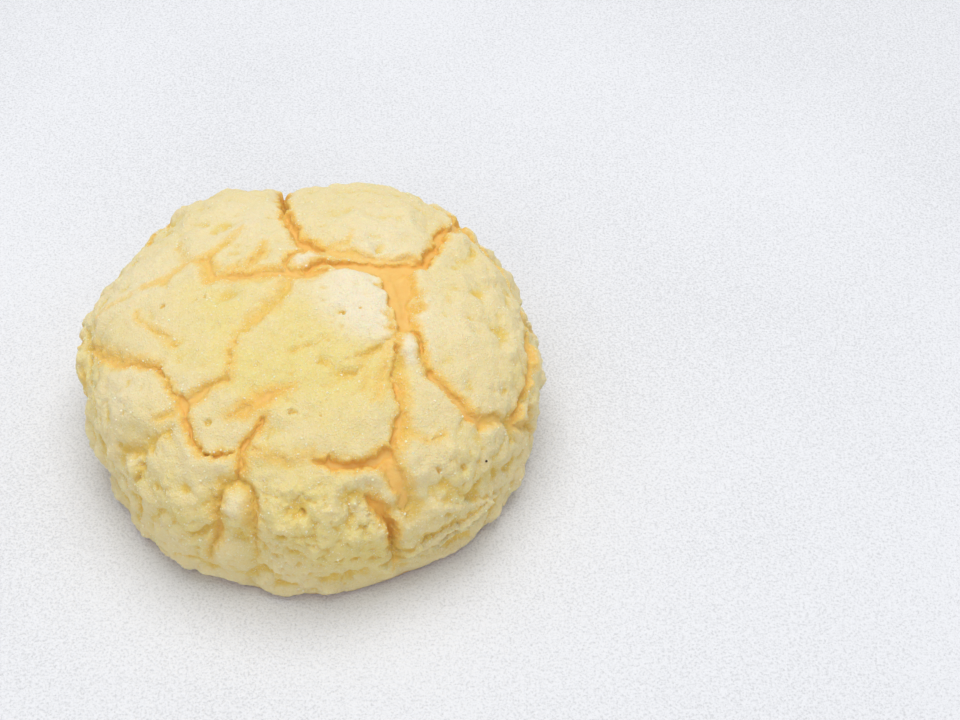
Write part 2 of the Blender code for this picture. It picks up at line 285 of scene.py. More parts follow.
# ---------------------------------------------------------------- the flat round and its drape

def cells(points, size, count):
    """The lattice cell each point lies in, and where in it."""
    places = points / size + 100.0
    cell = np.floor(places).astype(int)
    return cell % count, places - cell


def swell_noise(points, size, seed):
    """Slow noise from -1 to 1, which the part and its looks share."""
    lattice = np.random.default_rng(seed).uniform(-1.0, 1.0, (SWELL_LATTICE,) * 3)
    cell, part = cells(points, size, SWELL_LATTICE)
    part = part * part * (3.0 - 2.0 * part)
    total = np.zeros(len(points))
    for corner in np.ndindex(2, 2, 2):
        index = (cell + corner) % SWELL_LATTICE
        weight = np.prod(np.where(np.array(corner) == 1, part, 1.0 - part), axis=1)
        total += weight * lattice[index[:, 0], index[:, 1], index[:, 2]]
    return total


def fine_noise(points, size, seed):
    """Smooth noise from about -1 to 1 with bumps about `size` across."""
    rng = np.random.default_rng(seed)
    slopes = rng.normal(size=(LATTICE, LATTICE, LATTICE, 3))
    slopes *= 1.6 / np.linalg.norm(slopes, axis=3, keepdims=True)
    cell, part = cells(points, size, LATTICE)
    ease = part ** 3 * (part * (part * 6.0 - 15.0) + 10.0)
    total = np.zeros(len(points))
    for corner in np.ndindex(2, 2, 2):
        index = (cell + corner) % LATTICE
        slope = slopes[index[:, 0], index[:, 1], index[:, 2]]
        weight = np.prod(np.where(np.array(corner) == 1, ease, 1.0 - ease), axis=1)
        total += weight * np.einsum("ij,ij->i", slope, part - corner)
    return total


def domes(points, size, seed):
    """Round lumps about `size` across, from 0 in the creases between them to 1 on top."""
    seeds = np.random.default_rng(seed).uniform(0.0, 1.0, (LATTICE, LATTICE, LATTICE, 3))
    cell, part = cells(points, size, LATTICE)
    nearest = np.full(len(points), 9.0)
    for step in np.ndindex(3, 3, 3):
        offset = np.array(step) - 1
        index = (cell + offset) % LATTICE
        away = seeds[index[:, 0], index[:, 1], index[:, 2]] + offset - part
        nearest = np.minimum(nearest, np.einsum("ij,ij->i", away, away))
    return np.clip(1.0 - 1.5 * nearest, 0.0, 1.0)


def layered(noise, points, layers, reseed=0):
    """The sum of a noise's layers."""
    return sum(share * noise(points, size, seed + reseed) for share, size, seed in layers)


def bearing_gap(bearing, centre):
    """Degrees from a centre's bearing, from -180 to 180."""
    return (bearing - centre + 180.0) % 360.0 - 180.0


def outline_radius(bearing):
    """Plan radius along the widest line at a bearing in radians."""
    radius = np.full_like(bearing, MEAN_RADIUS)
    for centre, half_width, rise in OUTLINE_SWELLS:
        turn = bearing_gap(np.degrees(bearing), centre)
        radius += rise * np.exp(-(turn / half_width) ** 2)
    return radius


def profile_table(count=2001):
    """The side profile: distance along the crust from the crown, radius share and height."""
    turn = np.linspace(0.0, math.pi, count)
    above = turn <= math.pi / 2
    sine = np.maximum(np.sin(turn), 0.0)
    cosine = np.abs(np.cos(turn))
    crown_radius = sine ** (2.0 / CROWN_FULLNESS)
    crown_height = BELLY_HEIGHT + (HEIGHT - BELLY_HEIGHT) * cosine ** (2.0 / CROWN_FULLNESS)
    tuck_radius = FOOT_RATIO + (1.0 - FOOT_RATIO) * sine ** (2.0 / TUCK_FULLNESS)
    tuck_height = BELLY_HEIGHT * (1.0 - cosine ** (2.0 / TUCK_FULLNESS))
    share = np.where(above, crown_radius, tuck_radius)
    height = np.where(above, crown_height, tuck_height)
    steps = np.hypot(np.diff(share) * MEAN_RADIUS, np.diff(height))
    return np.concatenate(([0.0], np.cumsum(steps))), share, height


ALONG, SHARE, RISE = profile_table()
CRUST_RADIUS = float(ALONG[-1])


def drape(flat):
    """Points of the flat round of dough, laid over the smooth bun."""
    along = np.minimum(np.hypot(flat[:, 0], flat[:, 1]), CRUST_RADIUS)
    bearing = np.arctan2(flat[:, 1], flat[:, 0])
    radius = np.interp(along, ALONG, SHARE) * outline_radius(bearing)
    height = np.interp(along, ALONG, RISE)
    return np.stack((radius * np.cos(bearing), radius * np.sin(bearing), height), axis=1)


def outward(flat, step=0.4):
    """Unit normals of the smooth bun at points of the flat round."""
    across = drape(flat + (step, 0.0)) - drape(flat - (step, 0.0))
    back = drape(flat + (0.0, step)) - drape(flat - (0.0, step))
    normal = np.cross(across, back)
    return normal / np.maximum(np.linalg.norm(normal, axis=1, keepdims=True), 1e-9)


def furrows():
    """The creases that repeat round the flank, as cracks."""
    rng = np.random.default_rng(FURROW_SEED)
    made = {}
    for number in range(FURROW_COUNT):
        bearing = math.radians(FURROW_FIRST_BEARING + FURROW_STEP * number + rng.uniform(-6, 6))
        lean = math.radians(rng.uniform(-5, 5))
        top = FURROW_TOP + rng.uniform(-2, 5)
        low = min(top + FURROW_LENGTH * rng.uniform(0.7, 1.0), CRUST_RADIUS - 4.0)
        ends = ((top, bearing), (low, bearing + lean))
        made[f"furrow_{number}"] = FURROW_CUT + tuple(
            (far * math.cos(turn), far * math.sin(turn), FURROW_HALF_WIDTH) for far, turn in ends)
    return made


def walk(points, step=1.5):
    """A crack's points with more between them: x, y and half width."""
    route = np.array(points, dtype=float)
    pieces = []
    for start, end in zip(route[:-1], route[1:]):
        count = max(1, round(math.dist(start[:2], end[:2]) / step))
        share = np.arange(count)[:, None] / count
        pieces.append(start + (end - start) * share)
    pieces.append(route[-1:])
    return np.concatenate(pieces)


def spots(flat, fields):
    """Sum of soft round fields (x, y, reach, strength) over the flat round."""
    total = np.zeros(len(flat))
    for x, y, reach, strength in fields:
        far = np.hypot(flat[:, 0] - x, flat[:, 1] - y) / reach
        total += strength * np.exp(-far * far)
    return total


def smoothstep(value):
    value = np.clip(value, 0.0, 1.0)
    return value * value * (3.0 - 2.0 * value)


# ---------------------------------------------------------------- the baked surface

class Relief:
    """The crust's fine surface over points of the flat round, and what colours it."""

    reach = 14.0        # beyond this distance a crack changes nothing, mm

    def __init__(self, flat, shape):
        self.flat = flat
        self.smooth = drape(flat)
        self.along = np.hypot(flat[:, 0], flat[:, 1])
        self.bearing = np.degrees(np.arctan2(flat[:, 1], flat[:, 0]))
        self.wander()
        self.carve(shape)
        self.roughen(shape)

    def wander(self):
        """Points shifted by noise, which makes every crack ragged."""
        shift = [layered(fine_noise, self.smooth, WANDER, axis) for axis in range(3)]
        self.shifted = self.smooth + np.stack(shift, axis=1)
        self.ragged = fine_noise(self.smooth, 3.4, 70)

    def carve(self, shape):
        """How deep the crust is cut, how near an edge is, and where the bread shows."""
        count = len(self.flat)
        self.cut = np.zeros(count)
        self.edge = np.zeros(count)
        self.bread = np.zeros(count)
        self.halo = np.zeros(count)
        self.seam = np.zeros(count)
        deepest = shape.crust_depth / MM
        for drawn_depth, left, right, shows, *points in {**CRACKS, **furrows()}.values():
            depth = drawn_depth * shape.crack_share
            near, inside, side = self.measure(walk(points))
            wall = 0.35 + right + (left - right) * smoothstep(0.5 + 0.5 * side)
            outside = np.maximum(-inside, 0.0)
            firmness = min(depth / deepest, 1.0)
            rounding = np.exp(-1.8 * (outside / (1.4 + 1.5 * wall)) ** 1.3) * firmness
            sunk = inside / wall + 0.55
            hump = np.clip(inside - 0.4, 0.0, 2.5) * 0.10
            fall = depth * (smoothstep(sunk) - hump)
            sharp = np.exp(-(wall / 1.5) ** 2)
            begins = 0.3 * (1.0 - sharp)
            opened = shows * smoothstep((sunk - begins) / (0.9 - begins))
            halo = math.sqrt(shows) * np.exp(-(outside / (1.0 + 0.5 * wall)) ** 2)
            # The seam is the amber bread at a plate's foot plus a painted shade line under the lip,
            # darker too the deeper the crack is cut
            seam = shows * (0.35 + 0.65 * sharp) * np.exp(-((inside - 0.25) / 0.32) ** 2)
            seam = np.maximum(seam, shows * smoothstep((fall - 1.1) / 0.8))
            self.cut[near] = np.maximum(self.cut[near], fall)
            self.edge[near] = np.maximum(self.edge[near], rounding * (0.8 + 0.1 * wall))
            self.bread[near] = np.maximum(self.bread[near], opened)
            self.halo[near] = np.maximum(self.halo[near], halo)
            self.seam[near] = np.maximum(self.seam[near], seam)

    def measure(self, route):
        """Points near a crack, how far inside it they are, and their side: 1 left, -1 right."""
        line = drape(route[:, :2])
        low = line.min(axis=0) - self.reach
        high = line.max(axis=0) + self.reach
        close = ((self.smooth > low) & (self.smooth < high)).all(axis=1)
        near = np.flatnonzero(close)
        places = self.shifted[near]
        inside = np.full(len(near), -1e3)
        side = np.zeros(len(near))
        for start, end, first, last in zip(line[:-1], line[1:], route[:-1], route[1:]):
            run = end - start
            share = np.clip((places - start) @ run / (run @ run), 0.0, 1.0)
            away = places - start - share[:, None] * run
            gap = np.linalg.norm(away, axis=1)
            half = first[2] + (last[2] - first[2]) * share
            deeper = half * (1.0 + 0.7 * self.ragged[near]) + 0.15 * self.ragged[near] - gap
            across = np.cross(outward(first[None, :2])[0], run)
            lean = away @ (across / np.linalg.norm(across)) / np.maximum(gap, 0.3)
            side = np.where(deeper > inside, lean, side)
            inside = np.maximum(inside, deeper)
        return near, inside, side

    def sheets(self):
        """How far the sheets of dough at the rim stand out."""
        rise = np.zeros(len(self.flat))
        for height, reach, *points in SHEETS.values():
            near, inside, side = self.measure(walk(points))
            away = np.maximum(-inside, 0.0) / reach
            below = smoothstep(0.5 - side * 1.2)
            rise[near] += height * below * np.exp(-away ** 1.6)
        return rise

    def crumbliness(self):
        """How crumbly the crust is, from 0 to about 1."""
        flank = smoothstep((self.along - 44.0) / 14.0)
        total = np.zeros(len(self.flat))
        for centre, half_width, strength in CRAGS:
            turn = bearing_gap(self.bearing, centre)
            total += strength * np.exp(-(turn / half_width) ** 2)
        patchy = 0.75 + 0.5 * swell_noise(self.smooth, 13.0, 31)
        low = 1.0 + 0.4 * smoothstep((self.along - 56.0) / 14.0)
        return low * (0.26 + 0.74 * flank * np.clip(total, 0.36, 1.0)) * patchy

    def pinholes(self):
        """Depth of the small holes in the crust."""
        rng = np.random.default_rng(PINHOLE_SEED)
        holes = list(PINHOLES)
        for _ in range(LOOSE_PINHOLES):
            bearing = rng.uniform(0.0, 2.0 * math.pi)
            far = LOOSE_PINHOLE_SPREAD * math.sqrt(rng.uniform(0.02, 1.0))
            radius = rng.uniform(*LOOSE_PINHOLE_RADII)
            holes.append((far * math.cos(bearing), far * math.sin(bearing), radius))
        depth = np.zeros(len(self.flat))
        for x, y, radius in holes:
            centre = drape(np.array([[x, y]]))[0]
            near = np.flatnonzero(np.abs(self.smooth - centre).max(axis=1) < 4.0)
            far = np.linalg.norm(self.shifted[near] - centre, axis=1) / radius
            depth[near] = np.maximum(depth[near], PINHOLE_DEPTH * radius * np.exp(-far ** 3))
        return depth

    def roughen(self, shape):
        """The height of the surface above the smooth bun."""
        flank = np.clip((self.along - 40.0) / 20.0, 0.0, 1.0)
        crumbly = self.crumbliness()
        crust = 1.0 - smoothstep(self.bread * 1.6)
        rise = shape.swell_rise / MM * swell_noise(self.smooth, 26.0, 3)
        rise += shape.lump_rise / MM * (0.35 + 0.65 * flank) * swell_noise(self.smooth, 9.0, 4)
        rise += spots(self.flat, LIFTS) + self.sheets()
        bent = self.smooth + (self.shifted - self.smooth) * 1.3
        crags = layered(domes, bent, CRAG_DOMES) - CRAG_LEVEL
        rise += shape.crag_rise / MM * (1.0 - 0.7 * self.bread) * crumbly * crags
        ripple = layered(fine_noise, self.smooth, RIPPLE)
        rise += shape.ripple_rise / MM * crust * (1.0 + 0.9 * flank) * ripple
        grain = layered(fine_noise, self.smooth, GRAIN)
        rise += shape.grain_rise / MM * crust * (0.8 + self.edge + 1.2 * crumbly) * grain
        rise -= crust * self.pinholes()
        rise -= shape.shoulder_drop / MM * self.edge + self.cut
        rise *= np.clip((CRUST_RADIUS - self.along) / 5.0, 0.0, 1.0)
        self.rise = rise
        self.crumbly = crumbly

    def places(self):
        """The surface's points, in metres, centred as the solid is."""
        baked = self.smooth + outward(self.flat) * self.rise[:, None]
        baked[self.along > CRUST_RADIUS - 0.01, 2] = 0.0
        baked[:, :2] -= (baked.min(axis=0) + baked.max(axis=0))[:2] / 2.0
        return baked * MM


def blurred(grid, reach):
    """A square grid of values, softened over `reach` cells each way."""
    offsets = np.arange(-2 * reach, 2 * reach + 1)
    weights = np.exp(-0.5 * (offsets / reach) ** 2)
    weights /= weights.sum()
    for axis in (0, 1):
        padded = np.pad(grid, [(2 * reach, 2 * reach) if axis == a else (0, 0) for a in (0, 1)],
                        mode="edge")
        size = grid.shape[axis]
        grid = sum(w * np.take(padded, np.arange(size) + i, axis=axis)
                   for i, w in enumerate(weights))
    return grid


# ---------------------------------------------------------------- shader maths

class Term:
    """A shader value that Python's operators work on."""

    def __init__(self, kit, socket):
        self.kit = kit
        self.socket = socket

    def math(self, operation, *others):
        return self.kit.add("ShaderNodeMath", {"operation": operation}, (self,) + others)

    def __add__(self, other):
        return self.math("ADD", other)

    __radd__ = __add__

    def __sub__(self, other):
        return self.math("SUBTRACT", other)

    def __rsub__(self, other):
        return self.kit.add("ShaderNodeMath", {"operation": "SUBTRACT"}, (other, self))

    def __mul__(self, other):
        return self.math("MULTIPLY", other)

    def band(self, low, high):
        """0 below `low`, 1 above `high`, smooth between them."""
        return self.kit.add("ShaderNodeMapRange", {"interpolation_type": "SMOOTHSTEP"},
                            {"Value": self, "From Min": low, "From Max": high}, "Result")


class ShaderKit:
    """Builds one material's nodes."""

    def __init__(self, name):
        self.material = bpy.data.materials.new(name)
        self.material.use_nodes = True
        self.tree = self.material.node_tree
        self.surface = self.tree.nodes["Principled BSDF"]

    def add(self, kind, settings, sockets, output=0):
        """One node: its settings first, then its sockets' values or links."""
        node = self.tree.nodes.new(kind)
        for key, value in settings.items():
            setattr(node, key, value)
        pairs = sockets.items() if isinstance(sockets, dict) else enumerate(sockets)
        for key, value in pairs:
            self.plug(node.inputs[key], value)
        return Term(self, node.outputs[output])

    def plug(self, socket, value):
        if isinstance(value, Term):
            self.tree.links.new(value.socket, socket)
        else:
            socket.default_value = value

    def mix(self, share, first, second):
        """A colour between two colours."""
        return self.add("ShaderNodeMix", {"data_type": "RGBA"}, {0: share, 6: first, 7: second}, 2)

    def noise(self, size, detail=2.0, roughness=0.5):
        """Noise from 0 to 1 with features about `size` metres across."""
        return self.add("ShaderNodeTexNoise", {}, {"Vector": self.place, "Scale": 1.0 / size,
                                                   "Detail": detail, "Roughness": roughness})

    @property
    def place(self):
        return self.add("ShaderNodeTexCoord", {}, {}, "Object")

    def height(self):
        return self.add("ShaderNodeSeparateXYZ", {}, {"Vector": self.place}, "Z")

    def attribute(self, name):
        return self.add("ShaderNodeAttribute", {"attribute_name": name}, {}, "Fac")

    def bump(self, height, distance, strength):
        return self.add("ShaderNodeBump", {}, {"Height": height, "Distance": distance,
                                               "Strength": strength})

    def finish(self, sockets):
        for key, value in sockets.items():
            self.plug(self.surface.inputs[key], value)
        return self.material


def colour(rgb):
    return (rgb[0], rgb[1], rgb[2], 1.0)


def crust_material(tones):
    """Sandy cookie crust with the smooth bread in its cracks; its hollows get painted shade in a
    darker, saturated yellow, and its creases are partly yellower crust, partly painted shade.
    """
    kit = ShaderKit("cookie_crust")
    fine = kit.noise(0.0010, 3.0, 0.6)
    patchy = kit.noise(0.010, 3.0, 0.55)
    sand = kit.noise(0.00045, 2.0, 0.7)
    open_bread = (kit.attribute("bread") + (fine - 0.5) * 0.7).band(0.15, 0.95)
    stain = (kit.attribute("stain") + (patchy - 0.5) * 0.5 + (fine - 0.5) * 0.4).band(0.15, 0.85)
    # Painted shade: pits lying below their surroundings turn darker and a saturated yellow
    hollow_shade = (kit.attribute("hollow_shade") + (fine - 0.5) * 0.10).band(0.04, 0.36)
    # Creases turn yellower, partly the crust's own tone there and partly painted shade
    valley_tint_and_shade = (kit.attribute("valley_tint_and_shade") + (patchy - 0.5) * 0.25).band(0.02, 0.50)

    crust = kit.mix((kit.attribute("yellow") + (patchy - 0.5) * 1.6).band(0.1, 1.0),
                    colour(tones.plate), colour(tones.yellow))
    crust = kit.mix((kit.attribute("pale") + (fine - 0.5) * 0.3).band(0.15, 1.0), crust,
                    colour(tones.pale))
    crust = kit.mix(valley_tint_and_shade * 0.85, crust, colour(tones.yellow))
    # Painted shade: creases pulled toward the dark hollow colour
    crease_shade = (kit.attribute("valley_tint_and_shade") + (patchy - 0.5) * 0.5).band(0.12, 0.60)
    crust = kit.mix(crease_shade * 0.9, crust, colour(tones.hollow_shade))
    proud = (kit.attribute("valley_tint_and_shade") * -1.0).band(0.1, 0.9)
    crust = kit.mix(proud * 0.2, crust, colour(tones.pale))
    crust = kit.mix(stain * 0.85, crust, colour(tones.warm))
    lip = (kit.attribute("stain") + (fine - 0.5) * 0.4).band(0.72, 1.05)
    crust = kit.mix(lip * 0.9, crust, colour(tones.lip))
    # Painted shade in the pits
    crust = kit.mix(hollow_shade * 0.85, crust, colour(tones.hollow_shade))
    crust = kit.mix(sand.band(0.54, 0.70) * 0.60, crust, colour(tones.pale))
    crust = kit.mix(sand.band(0.46, 0.30) * 0.30, crust, colour(tones.hollow_shade))

    crumb = kit.noise(0.0030, 4.0, 0.6)
    soft = kit.mix(crumb.band(0.3, 0.75), colour(tones.bread), colour(tones.bread_dark))
    # Partly real amber, partly painted shade: a dark line at a plate's foot and in deep cuts
    soft = kit.mix((kit.attribute("seam") + (fine - 0.5) * 0.3).band(0.2, 0.9) * 0.75, soft,
                   colour(tones.amber_and_shade))
    baked = kit.mix(open_bread, crust, soft)
    foot = (kit.height() * 1000.0 + (patchy - 0.5) * 1.6).band(2.0, 0.2)
    baked = kit.mix(foot, baked, colour(tones.foot))

    grit = fine * 0.45 + sand * 0.55
    return kit.finish({
        "Base Color": baked,
        "Roughness": 0.88 - open_bread * 0.26 - sand.band(0.66, 0.8) * 0.2,
        "Normal": kit.bump(grit * (1.0 - open_bread * 0.75), 0.0009, 0.9),
        "Subsurface Weight": 0.35,
        "Subsurface Radius": (1.0, 0.6, 0.25),
        "Subsurface Scale": 0.0035,
    })


def sugar_material(tones):
    """Clear white sugar grains."""
    kit = ShaderKit("sugar")
    cloudy = kit.noise(0.0011, 1.0)
    return kit.finish({
        "Base Color": kit.mix(cloudy.band(0.35, 0.6), colour(tones.sugar), colour(tones.pale)),
        "Roughness": 0.5 + cloudy * 0.3,
        "Specular IOR Level": 0.35,
        "Subsurface Weight": 0.3,
        "Subsurface Scale": 0.0006,
    })


def scorched_material(tones):
    """A crumb burnt dark brown."""
    kit = ShaderKit("scorched")
    return kit.finish({
        "Base Color": colour(tones.scorched),
        "Roughness": 0.8,
    })


def floor_material(stage):
    """A plain pale table top with a fine tooth."""
    kit = ShaderKit("pale_table")
    tooth = kit.noise(0.0006, 2.0, 0.7)
    cloud = kit.noise(0.12, 2.0)
    light = colour(stage.floor)
    dark = colour([c * 0.77 for c in stage.floor])
    return kit.finish({
        "Base Color": kit.mix((tooth * 0.8 + cloud * 0.2).band(0.3, 0.58), dark, light),
        "Roughness": 0.8,
        "Normal": kit.bump(tooth, 0.0006, 0.6),
    })


# ---------------------------------------------------------------- modelling helpers

def deselect():
    if bpy.context.object and bpy.context.object.mode != "OBJECT":
        bpy.ops.object.mode_set(mode="OBJECT")
    bpy.ops.object.select_all(action="DESELECT")


def take_active(name):
    """The primitive that was just added, under its own name."""
    piece = bpy.context.active_object
    piece.name = name
    piece.data.name = name
    return piece


def read_places(mesh):
    places = np.empty(len(mesh.vertices) * 3)
    mesh.vertices.foreach_get("co", places)
    return places.reshape(-1, 3)


def write_places(mesh, places):
    mesh.vertices.foreach_set("co", np.ascontiguousarray(places, dtype=np.float32).ravel())
    mesh.update()


def write_attribute(mesh, name, values):
    layer = mesh.attributes.new(name, "FLOAT", "POINT")
    layer.data.foreach_set("value", np.ascontiguousarray(values, dtype=np.float32))


def apply_modifier(piece, kind, **settings):
    bpy.context.view_layer.objects.active = piece
    modifier = piece.modifiers.new(kind.lower(), kind)
    for key, value in settings.items():
        setattr(modifier, key, value)
    bpy.ops.object.modifier_apply(modifier=modifier.name)


def round_off(square):
    """A square's points, from -1 to 1, moved onto a disc with equal areas."""
    x, y = square[:, 0], square[:, 1]
    wide = np.abs(x) >= np.abs(y)
    far = np.where(wide, x, y)
    safe = np.where(np.abs(far) < 1e-9, 1.0, far)
    slant = np.where(wide, y, x) / safe * (math.pi / 4.0)
    return np.stack((np.where(wide, far * np.cos(slant), far * np.sin(slant)),
                     np.where(wide, far * np.sin(slant), far * np.cos(slant))), axis=1)


# ---------------------------------------------------------------- the pieces

def lay_dough(rows):
    """A square sheet of dough with `rows` rows of faces, as a mesh piece."""
    deselect()
    bpy.ops.mesh.primitive_grid_add(x_subdivisions=rows, y_subdivisions=rows, size=2.0,
                                    location=(0.0, 0.0, 0.0))
    return take_active("crust")


def close_underside(crust, rings=5):
    """Draws the rim in under the bun, ring by ring, and closes it at the middle."""
    deselect()
    crust.select_set(True)
    bpy.context.view_layer.objects.active = crust
    bpy.ops.object.mode_set(mode="EDIT")
    bpy.ops.mesh.select_mode(type="EDGE")
    bpy.ops.mesh.select_all(action="DESELECT")
    bpy.ops.mesh.select_non_manifold()
    for ring in range(rings):
        shrink = (rings - ring - 0.5) / (rings - ring + 0.5)
        bpy.ops.mesh.extrude_region_move()
        bpy.ops.transform.resize(value=(shrink, shrink, 1.0), center_override=(0.0, 0.0, 0.0))
    bpy.ops.mesh.merge(type="CENTER")
    bpy.ops.mesh.select_all(action="SELECT")
    bpy.ops.mesh.normals_make_consistent(inside=False)
    bpy.ops.object.mode_set(mode="OBJECT")


def unwrap_round(crust, flat, top_count):
    """The bake map: the flat round of dough, and the underside small in a corner."""
    mesh = crust.data
    while mesh.uv_layers:
        mesh.uv_layers.remove(mesh.uv_layers[0])
    layer = mesh.uv_layers.new(name="OFBake")
    corners = np.empty(len(mesh.loops), dtype=int)
    mesh.loops.foreach_get("vertex_index", corners)
    starts = np.empty(len(mesh.polygons), dtype=int)
    totals = np.empty(len(mesh.polygons), dtype=int)
    mesh.polygons.foreach_get("loop_start", starts)
    mesh.polygons.foreach_get("loop_total", totals)
    top = np.zeros((len(mesh.vertices), 2))
    top[:top_count] = 0.5 + CRUST_DISC * flat / CRUST_RADIUS
    places = read_places(mesh)
    under = BASE_CENTRE + BASE_DISC * places[:, :2] / (MEAN_RADIUS * MM * 1.05)
    face_of = np.repeat(np.arange(len(starts)), totals)
    is_top = np.minimum.reduceat(corners < top_count, starts)
    flat_face = np.maximum.reduceat(places[corners, 2], starts) < 1e-6
    on_top = (is_top & ~flat_face)[face_of]
    uv = np.where(on_top[:, None], top[corners], under[corners])
    layer.data.foreach_set("uv", uv.astype(np.float32).ravel())


class MELON_OT_crust(bpy.types.Operator):
    """Bake the cracked cookie crust and the bread that shows in its cracks"""
    bl_idname = "melon.crust"
    bl_label = "Bake the crust"

    def execute(self, context):
        shape = context.scene.melon_shape
        rows = shape.dough_rows
        crust = lay_dough(rows)
        square = read_places(crust.data)[:, :2]
        flat = round_off(square) * CRUST_RADIUS
        relief = Relief(flat, shape)
        write_places(crust.data, relief.places())
        self.colour_points(crust.data, square, relief, rows)
        top_count = len(flat)
        close_underside(crust)
        unwrap_round(crust, flat, top_count)
        faces = sum(len(p.vertices) - 2 for p in crust.data.polygons)
        apply_modifier(crust, "DECIMATE", ratio=min(1.0, shape.faces_kept / faces),
                       use_collapse_triangulate=True)
        crust.data.materials.append(crust_material(context.scene.melon_tones))
        crust.data.shade_smooth()
        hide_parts("bun")
        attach(crust, "root")
        return {"FINISHED"}

    def colour_points(self, mesh, square, relief, rows):
        """Writes what the material reads: bread, its stain, seams with their painted shade, the
        painted shade of hollows and creases, and tinted fields.
        """
        cell = np.round((square + 1.0) * rows / 2.0).astype(int)
        spacing = 2.0 * CRUST_RADIUS / rows

        def around(values, reach):
            grid = np.zeros((rows + 1, rows + 1))
            grid[cell[:, 0], cell[:, 1]] = values
            return blurred(grid, max(1, round(reach / spacing)))[cell[:, 0], cell[:, 1]]

        # Painted shade mask: how far a point lies below its nearby surroundings
        write_attribute(mesh, "hollow_shade", around(relief.rise, 0.8) - relief.rise)
        # Creases, from curvature: partly the crust's yellower tone, partly a painted shade mask;
        # crests are read from it too
        write_attribute(mesh, "valley_tint_and_shade", around(relief.rise, 2.6) - around(relief.rise, 0.5))
        write_attribute(mesh, "bread", relief.bread)
        write_attribute(mesh, "stain", relief.halo)
        # Seam mask: partly real amber bread, partly painted shade under lips and in deep cuts
        write_attribute(mesh, "seam", relief.seam)
        write_attribute(mesh, "yellow", spots(relief.flat, YELLOW_FIELDS))
        write_attribute(mesh, "pale", spots(relief.flat, PALE_FIELDS))


def scatter(source, seed_piece, name, count, sizes, seed, wanted, sink):
    """One mesh of `count` turned and scaled copies of a seed piece, set on a piece's surface."""
    rng = np.random.default_rng(seed)
    mesh = source.data
    places = read_places(mesh)
    normals = np.empty(len(mesh.vertices) * 3)
    mesh.vertex_normals.foreach_get("vector", normals)
    normals = normals.reshape(-1, 3)
    weights = wanted(mesh, places, normals)
    chosen = rng.choice(len(places), size=count, p=weights / weights.sum())
    shape = read_places(seed_piece.data)
    faces = [tuple(p.vertices) for p in seed_piece.data.polygons]
    turns = np.linalg.qr(rng.normal(size=(count, 3, 3)))[0]
    turns *= np.sign(np.linalg.det(turns))[:, None, None]
    scale = sizes[0] + (sizes[1] - sizes[0]) * rng.uniform(0.0, 1.0, count) ** SMALL_GRAIN_BIAS
    grains = np.einsum("kij,vj->kvi", turns, shape) * scale[:, None, None]
    grains += (places[chosen] + normals[chosen] * (scale * sink)[:, None])[:, None, :]
    step = len(shape)
    indices = [tuple(v + step * k for v in face) for k in range(count) for face in faces]
    made = bpy.data.meshes.new(name)
    made.from_pydata(grains.reshape(-1, 3), [], indices)
    piece = bpy.data.objects.new(name, made)
    bpy.context.scene.collection.objects.link(piece)
    bpy.data.objects.remove(seed_piece, do_unlink=True)
    return piece


def attribute_values(mesh, name):
    values = np.empty(len(mesh.vertices))
    mesh.attributes[name].data.foreach_get("value", values)
    return values


class MELON_OT_sugar(bpy.types.Operator):
    """Scatter the sugar grains that were pressed into the dough"""
    bl_idname = "melon.sugar"
    bl_label = "Scatter the sugar"

    def execute(self, context):
        sugar = context.scene.melon_sugar
        deselect()
        bpy.ops.mesh.primitive_uv_sphere_add(segments=4, ring_count=2, radius=0.5)
        grain = take_active("sugar_grain")
        piece = scatter(bpy.data.objects["crust"], grain, "sugar", sugar.count,
                        (sugar.smallest, sugar.largest), sugar.seed, self.wanted, -0.08)
        piece.data.materials.append(sugar_material(context.scene.melon_tones))
        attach(piece, "root")
        return {"FINISHED"}

    def wanted(self, mesh, places, normals):
        """Sugar lies on the crust's plates, most of it on top, and none on the open bread."""
        on_crust = attribute_values(mesh, "bread") < 0.05
        upward = np.clip(normals[:, 2] + 0.5, 0.0, 1.2)
        return on_crust * upward * (places[:, 2] > 0.004)


class MELON_OT_scorched(bpy.types.Operator):
    """Set the one scorched crumb on the crust's right shoulder"""
    bl_idname = "melon.scorched"
    bl_label = "Set the scorched crumb"

    def execute(self, context):
        sugar = context.scene.melon_sugar
        deselect()
        bpy.ops.mesh.primitive_ico_sphere_add(subdivisions=2, radius=0.5)
        crumb = take_active("crumb")
        piece = scatter(bpy.data.objects["crust"], crumb, "scorched_crumb", 1,
                        (sugar.scorched, sugar.scorched), sugar.seed, self.wanted, 0.1)
        piece.data.materials.append(scorched_material(context.scene.melon_tones))
        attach(piece, "root")
        return {"FINISHED"}

    def wanted(self, mesh, places, normals):
        """The single point of the crust nearest the crumb's place."""
        place = drape(np.array([SCORCHED_CRUMB]))[0] * MM
        gaps = np.linalg.norm(places - place, axis=1)
        return (gaps == gaps.min()).astype(float)


